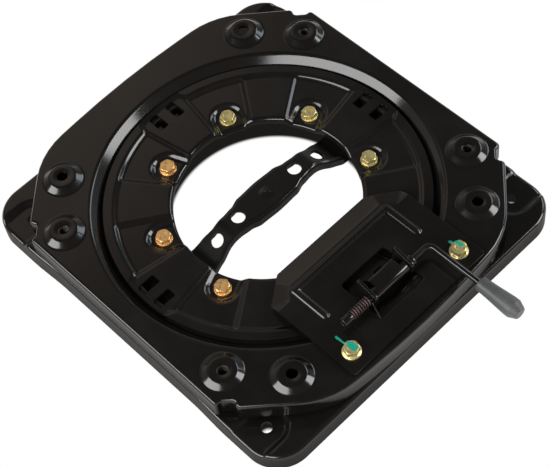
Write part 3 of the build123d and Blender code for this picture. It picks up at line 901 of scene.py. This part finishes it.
# %% Pieces copied from the CAD with softened edges
for node, name, body, width in (
        ("latch_ear_left", "ear_left", "seat", 0.5),
        ("latch_ear_right", "ear_right", "seat", 0.5),
        ("pawl", "pawl_pressing", "lever", 0.5),
        ("spring_collar", "spring_cap", "lever", 0.5),
        ("pivot_ring", "pivot_collar", "lever", 0.4)):
    copy = bmesh.new()
    copy.from_mesh(frame["nodes"][node].data)
    bmesh.ops.scale(copy, vec=(1 / MM,) * 3, verts=copy.verts)
    bmesh.ops.remove_doubles(copy, verts=copy.verts, dist=0.002)
    bmesh.ops.dissolve_limit(copy, angle_limit=radians(1.0), verts=copy.verts, edges=copy.edges)
    finish_piece(copy, name, body, black, node, edge=width, smooth=40, soft_over=40)

# %% [markdown]
# Finishes are written as sums on sockets. One class wraps a socket and knows
# plus, minus and times, so a mask reads like a formula, and one method adds any
# other node. Every pattern on a piece reads Object coordinates, which are the
# same as the frame's, so a mark on one piece can run on over the next.

# %% A small language for finishes
class Value:
    """A socket that can be used in sums."""

    def __init__(self, finish, socket):
        self.finish, self.socket = finish, socket

    def math(self, kind, *terms):
        return self.finish.node("ShaderNodeMath", {"operation": kind}, dict(enumerate(terms)))

    def __add__(self, other):
        return self.math("ADD", self, other)

    def __radd__(self, other):
        return self.math("ADD", other, self)

    def __sub__(self, other):
        return self.math("SUBTRACT", self, other)

    def __rsub__(self, other):
        return self.math("SUBTRACT", other, self)

    def __mul__(self, other):
        return self.math("MULTIPLY", self, other)

    def __rmul__(self, other):
        return self.math("MULTIPLY", other, self)

    def __abs__(self):
        return self.math("ABSOLUTE", self)

    def root(self):
        return self.math("SQRT", self)

    def at_least(self, low):
        return self.math("MAXIMUM", self, low)


class Finish:
    """The nodes of a material, or of the world, built up from values."""

    def __init__(self, owner, space="Object"):
        self.owner = owner
        self.owner.use_nodes = True
        self.tree = self.owner.node_tree
        self.tree.nodes.clear()
        self.coords = self.node("ShaderNodeTexCoord", out=space)
        parts = self.tree.nodes.new("ShaderNodeSeparateXYZ")
        self.tree.links.new(self.coords.socket, parts.inputs[0])
        self.x, self.y, self.z = [Value(self, parts.outputs[k]) for k in range(3)]

    def node(self, kind, settings=None, inputs=None, out=0):
        """Adds a node: its settings first, then its sockets, which may be values or numbers."""
        made = self.tree.nodes.new(kind)
        for key, value in (settings or {}).items():
            if key == "stops":
                ramp = made.color_ramp.elements
                while len(ramp) < len(value):
                    ramp.new(0.5)
                for stop, (place, colour) in zip(ramp, value):
                    stop.position, stop.color = place, (*colour, 1)
            else:
                setattr(made, key, value)
        for key, value in (inputs or {}).items():
            if isinstance(value, Value):
                self.tree.links.new(value.socket, made.inputs[key])
            else:
                made.inputs[key].default_value = value
        return None if out is None else Value(self, made.outputs[out])

    def noise(self, scale, detail=4.0, rough=0.55):
        """A cloudy pattern, with scale clouds to the metre."""
        return self.node(
            "ShaderNodeTexNoise", {},
            {"Vector": self.coords, "Scale": scale, "Detail": detail, "Roughness": rough})

    def band(self, value, low, high):
        """Goes from 0 to 1 as value goes from low to high."""
        return self.node(
            "ShaderNodeMapRange", {"interpolation_type": "SMOOTHSTEP"},
            {"Value": value, "From Min": low, "From Max": high, "To Min": 0.0, "To Max": 1.0})

    def mix(self, mask, first, second):
        """Two colours blended by a mask."""
        first, second = [c if isinstance(c, Value) else (*c, 1) for c in (first, second)]
        return self.node("ShaderNodeMix", {"data_type": "RGBA"}, {0: mask, 6: first, 7: second}, out=2)

    def surface(self, colour, rough, metal=0.0, *, bump, height):
        """Closes a material: its colour, gloss and metal, and a bump of a height in metres."""
        normal = self.node("ShaderNodeBump", {}, {"Height": bump, "Strength": 1.0, "Distance": height})
        looks = {"Base Color": colour, "Roughness": rough, "Metallic": metal, "Normal": normal}
        self.close(self.node("ShaderNodeBsdfPrincipled", {}, looks))
        return self.owner

    def close(self, shader, kind="ShaderNodeOutputMaterial"):
        """Joins a shader to the output."""
        self.node(kind, {}, {"Surface": shader}, out=None)


def new_finish(name):
    return Finish(bpy.data.materials.new(name))


print("finishes can use", [name for name in vars(Finish) if not name.startswith("_")])

# %% [markdown]
# The black coat is powder paint: near black, glossy, with a faint ripple like
# orange peel and a little dust that dulls it unevenly. Both are noise, one fine
# and shallow in the bump, one broad in the roughness and colour.

# %% Black coat
def black_coat(name, marks=None):
    """The coat, with painted marks over it where a function for them is given."""
    coat = new_finish(name)
    dust = coat.band(coat.noise(14.0, 5.0, 0.6), 0.42, 0.72)
    specks = coat.band(coat.noise(900.0, 2.0), 0.68, 0.78)
    dusted = dust * 0.5 + specks * 0.25
    colour = coat.mix(dusted, (0.0052, 0.0045, 0.0040), (0.012, 0.0105, 0.0095))
    rough = 0.13 + dust * 0.05 + specks * 0.08
    if marks:
        colour, rough = marks(coat, colour, rough)
    peel = coat.noise(420.0, 2.0, 0.4)
    return coat.surface(colour, rough, bump=peel, height=0.000002)


plain_black = black_coat("black_coat")
print("made", plain_black.name)

# %% [markdown]
# A fitter has dabbed green paint across each flange bolt, to show that it has
# been tightened. The dab runs over the head and down onto the plate, so it is
# one mask in the frame's own coordinates, and the materials of both pieces use
# it. Each dab is a small rectangle with a wobbly edge, wider towards the head.

# %% The green witness marks
green = (0.010, 0.30, 0.20)
dabs = ((159.0, 176.5, 68.2, 71.4, 0.6), (152.0, 179.5, -67.6, -65.1, 2.3))
side_blur, end_blur = 0.5, 2


def witness(finish):
    """Where the two green marks are, from 0 to 1."""
    wobble = (finish.noise(260.0, 3.0) - 0.5) * 0.0022
    run = finish.x + wobble
    marks = 0
    for x0, x1, y0, y1, spread in dabs:
        wide = finish.band(finish.x, (x1 - 13) * MM, (x1 - 8) * MM) * (spread * MM)
        low, high = finish.y + wobble + wide, finish.y + wobble - wide
        within = finish.band(low, y0 * MM, (y0 + side_blur) * MM)
        within = within * (1 - finish.band(high, (y1 - side_blur) * MM, y1 * MM))
        within = within * finish.band(run, x0 * MM, (x0 + end_blur) * MM)
        marks = marks + within * (1 - finish.band(run, (x1 - end_blur) * MM, x1 * MM))
    return marks


def mark_black(coat, colour, rough):
    """Paints the green marks over the black coat."""
    mask = witness(coat)
    return coat.mix(mask, colour, green), rough + mask * 0.2


marked_black = black_coat("black_coat_marked", mark_black)
print("made", marked_black.name)

# %% [markdown]
# The bolts are zinc plated and passivated yellow, which drifts between green
# and orange from one place to another. In the photograph the bolts on one side
# are warmer, so the tint turns over across the part with a ragged border. Fine
# stains darken it, and finer noise breaks up the reflection.

# %% Yellow zinc
zinc_metal = 0.75


def yellow_zinc(name, marked):
    """The plating, with the green marks over it where it is marked."""
    zinc = new_finish(name)
    ragged = (zinc.noise(55.0, 4.0, 0.6) - 0.5) * 0.15
    tint = zinc.band(zinc.y + zinc.x * 0.5 + ragged, -0.06, -0.03)
    colour = zinc.mix(tint, (1.0, 0.58, 0.22), (0.74, 0.63, 0.27))
    stain = zinc.band(zinc.noise(260.0, 4.0, 0.7), 0.45, 0.62)
    colour = zinc.mix(stain * 0.55, colour, (0.34, 0.24, 0.13))
    wear = zinc.band(zinc.noise(700.0, 3.0), 0.55, 0.8)
    metal = zinc_metal
    if marked:
        mask = witness(zinc)
        colour = zinc.mix(mask, colour, green)
        metal = (1 - mask) * zinc_metal
    grain = zinc.noise(1500.0, 2.0)
    return zinc.surface(colour, 0.33 + wear * 0.15, metal, bump=grain, height=0.00001)


plain_zinc = yellow_zinc("yellow_zinc", False)
marked_zinc = yellow_zinc("yellow_zinc_marked", True)
print("made", plain_zinc.name, "and", marked_zinc.name)

# %% [markdown]
# The last finishes are alike in their build: two colours blended by a cloudy
# stain, which also changes the gloss, and a fine bump. One function makes them
# from their own values. The spring's wire is brown, and its straight leg is the
# same wire; painted shade turns the leg's colour near black along x where it begins.

# %% Steel, spring and plastics
leg_shade_start, leg_full_shade = 0.1585, 0.1610


def stained(name, pattern, colours, gloss, metal, grain, height, leg=False):
    """A stained finish: colours and gloss are each a clean and a stained value."""
    finish = new_finish(name)
    stain = finish.band(finish.noise(*pattern[:2]), *pattern[2:])
    colour = finish.mix(stain, *colours)
    # painted shade: the spring's leg, the same wire as the coil, turned near black along x
    if leg:
        colour = finish.mix(finish.band(finish.x, leg_shade_start, leg_full_shade), colour, (0.012, 0.010, 0.009))
    rough = gloss[0] + stain * gloss[1]
    return finish.surface(colour, rough, metal, bump=finish.noise(*grain), height=height)


finishes = {
    "black_paint": plain_black,
    "yellow_zinc": plain_zinc,
    "weld_nut_steel": stained(
        "bare_steel", (120.0, 4.0, 0.4, 0.7), ((0.42, 0.41, 0.39), (0.26, 0.23, 0.20)),
        (0.38, 0.2), 1.0, (900.0,), 0.00002),
    "spring_steel": stained(
        "spring_wire", (300.0, 3.0, 0.35, 0.7), ((0.055, 0.030, 0.028), (0.12, 0.078, 0.072)),
        (0.36, 0.15), 0.6, (1200.0,), 0.00001, leg=True),
    "grey_grip": stained(
        "grip_plastic", (40.0, 3.0, 0.35, 0.7), ((0.058, 0.062, 0.061), (0.082, 0.087, 0.086)),
        (0.42, 0.08), 0.0, (1400.0, 3.0), 0.00003),
    "glide_plastic": stained(
        "glide_plastic", (60.0, 3.0, 0.35, 0.7), ((0.010, 0.010, 0.011), (0.018, 0.018, 0.019)),
        (0.48, 0.10), 0.0, (900.0,), 0.00002),
}
print(len(finishes), "finishes")

# %% [markdown]
# The part's record says which finish each CAD piece has, and each new piece
# carries the name of its own. Only the latch plate and its two bolts differ
# from the rest of their kind, because the green marks run over them.

# %% Finishes on the pieces
slot_of = {p["node"]: p["material_slot"] for p in frame["record"]["subparts"]}
for name, node in frame["nodes"].items():
    slots_of_node = node.data.materials
    if not slots_of_node:
        slots_of_node.append(None)
    for k in range(len(slots_of_node)):
        slots_of_node[k] = finishes[slot_of[name]]
for obj in bpy.context.scene.objects:
    if obj.type == "MESH" and "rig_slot" in obj:
        obj.data.materials.clear()
        obj.data.materials.append(finishes[obj["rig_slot"]])
latch_plate.data.materials[0] = marked_black
latch_bolts.data.materials[0] = marked_zinc
print("finishes put on", len(frame["nodes"]), "nodes")

# %% [markdown]
# The product stands on white with no visible horizon. A floor that were plain
# white for everything would also shine in the black coat, so the floor tells
# its rays apart. The camera sees white, with painted shade under the tray. The
# reflections see painted shade too: a floor that is darker close to the tray,
# and dark under it. In both, a small painted patch of light lies below each bolt
# hole. All else sees a plain matt floor. The masks are distances from the tray's
# outline, axis and holes.

# %% The floor
floor_half = 4000.0
# the colour of the painted shade on the floor
shade = (0.012, 0.011, 0.010)
floor_grid = bmesh.new()
bmesh.ops.create_grid(floor_grid, x_segments=1, y_segments=1, size=floor_half)
floor = made_object(floor_grid, "floor")
paint = new_finish("white_floor")


def distance(across, up):
    """How far a point with these two values is from zero."""
    return (across * across + up * up).root()


corner = tray_corner * MM
side_x, side_y = abs(paint.x), abs(paint.y)
past_x = (side_x - (tray_x * MM - corner)).at_least(0.0)
past_y = (side_y - ((tray_y - waist) * MM - corner)).at_least(0.0)
away = distance(past_x, past_y) - corner
from_axis = distance(paint.x, paint.y)
from_hole = distance(side_x - bolt_pitch * MM, side_y - bolt_pitch * MM)
# painted shade under the tray, left out below each bolt hole as a painted patch of light
painted_shade_mask = (1 - paint.band(away, -0.010, -0.005)) * paint.band(from_axis, 0.094, 0.098)
painted_shade_mask = painted_shade_mask * paint.band(from_hole, 0.0040, 0.0085)
shown = paint.mix(painted_shade_mask, (1.0, 1.0, 1.0), shade)
# painted shade: the floor seen in reflections is darker within 40 mm of the tray
reflected = paint.mix(paint.band(away, 0.0, 0.040), (0.22, 0.212, 0.208), (1.22, 1.19, 1.16))
reflected = paint.mix(painted_shade_mask, reflected, shade)
seen = paint.node("ShaderNodeLightPath", out="Is Camera Ray")
mirrored = paint.node("ShaderNodeLightPath", out="Is Glossy Ray")
plain = paint.node("ShaderNodeBsdfDiffuse", {}, {"Color": (0.85, 0.85, 0.85, 1)})
told_apart = paint.mix(mirrored, shown, reflected)
glow = paint.node("ShaderNodeEmission", {}, {"Color": told_apart, "Strength": 1.0})
paint.close(paint.node("ShaderNodeMixShader", {}, {0: seen + mirrored, 1: plain, 2: glow}))
floor.data.materials.append(paint.owner)
print("the floor is", 2 * floor_half * MM, "m wide")

# %% [markdown]
# The world is what stands round the part: walls that are brighter low down, a
# darker ceiling, and one soft warm card on the far side. Tops that face the
# ceiling stay near black, and each bend sweeps through the walls and catches a
# thin pale line. Only the camera sees the world as plain white.

# %% The world
card_azimuth, card_height, card_inner, card_outer = 160, 42, 7, 18
card_colour = (0.62, 0.52, 0.44)
levels = [(0.0, 0.50), (0.15, 0.36), (0.4, 0.16), (0.75, 0.13), (0.86, 0.08), (1.0, 0.08)]


def toward(azimuth, height):
    """A direction: degrees round from the x axis, and degrees up from the floor."""
    a, e = radians(azimuth), radians(height)
    return Vector((cos(e) * cos(a), cos(e) * sin(a), sin(e)))


studio = Finish(bpy.data.worlds.new("studio"), "Generated")
bpy.context.scene.world = studio.owner
stops = [(place, (level, level, level * 0.98)) for place, level in levels]
walls = studio.node("ShaderNodeValToRGB", {"stops": stops}, {"Fac": studio.z})
facing = studio.node(
    "ShaderNodeVectorMath", {"operation": "DOT_PRODUCT"},
    {0: studio.coords, 1: toward(card_azimuth, card_height)}, out="Value")
on_card = studio.band(facing, cos(radians(card_outer)), cos(radians(card_inner)))
room = studio.node("ShaderNodeBackground", {}, {"Color": studio.mix(on_card, walls, card_colour)})
white = studio.node("ShaderNodeBackground", {}, {"Color": (1, 1, 1, 1)})
by_camera = studio.node("ShaderNodeLightPath", out="Is Camera Ray")
studio.close(
    studio.node("ShaderNodeMixShader", {}, {0: by_camera, 1: room, 2: white}), "ShaderNodeOutputWorld")
print("the walls have", len(levels), "levels of light")

# %% [markdown]
# Three area lamps stand in for softboxes. Each is aimed at the middle of the
# plate, and their size sets how wide the lines on the bends are. The long one
# makes the bright band on the far wall of the well, the small one the band on
# its left, and the cool one a bluish glint on the right flank of each boss.

# %% Lamps
lamp_reach = 2.2
aim = Vector((0, 0, 0.03))


def softbox(name, azimuth, height, size, power, colour=(1, 1, 1)):
    """An area lamp of a width and a height in metres, aimed at the part."""
    data = bpy.data.lights.new(name, "AREA")
    data.shape = "RECTANGLE"
    data.size, data.size_y = size
    data.energy, data.color = power, colour
    obj = bpy.data.objects.new(name, data)
    obj.location = toward(azimuth, height) * lamp_reach
    obj.rotation_mode = "QUATERNION"
    obj.rotation_quaternion = (aim - obj.location).to_track_quat("-Z", "Y")
    bpy.context.scene.collection.objects.link(obj)


softbox("long_softbox_near_left", 270, 33, (3.1, 0.85), 71)
softbox("small_softbox_right", 48, 30, (0.9, 0.85), 22)
softbox("cool_softbox_far_right", 88, 32, (1.1, 0.75), 11, colour=(0.82, 0.92, 1.0))

# %% [markdown]
# The camera was solved from the photograph: the eight ring bolts and the flat
# tops of the bosses fix where it stood, how it was turned and how long its
# lens was, so the render can be laid over the photo. Azimuth and elevation give
# the way it looks back, and the roll tips its two other axes.

# %% Camera
eye = Vector((0.63993, -0.47423, 1.18644))
azimuth, elevation, roll = radians(53.35), radians(56.68), radians(-9.44)
focal_length, sensor_width = 99.88, 36
back = Vector((sin(azimuth) * cos(elevation), -cos(azimuth) * cos(elevation), sin(elevation)))
level = Vector((cos(azimuth), sin(azimuth), 0))
upright = level.cross(-back)
right = level * cos(roll) + upright * sin(roll)
up = upright * cos(roll) - level * sin(roll)
camera_data = bpy.data.cameras.new("photo_camera")
camera_data.sensor_width = sensor_width
camera_data.lens = focal_length
camera_data.clip_start, camera_data.clip_end = 0.05, 50
camera = bpy.data.objects.new("photo_camera", camera_data)
camera.matrix_world = Matrix.Translation(eye) @ Matrix((right, up, back)).transposed().to_4x4()
bpy.context.scene.collection.objects.link(camera)
bpy.context.scene.camera = camera
bpy.context.scene.view_settings.view_transform = "Standard"
print("the camera stands", round(eye.length, 3), "m from the middle of the part")

# %% [markdown]
# Last, the view layer is updated, so that every piece stands in its place. The
# sheets were laid over the CAD pieces, so the box round everything should be
# the CAD's own, give or take a twentieth of a millimetre.

# %% Bringing the scene up to date
bpy.context.view_layer.update()
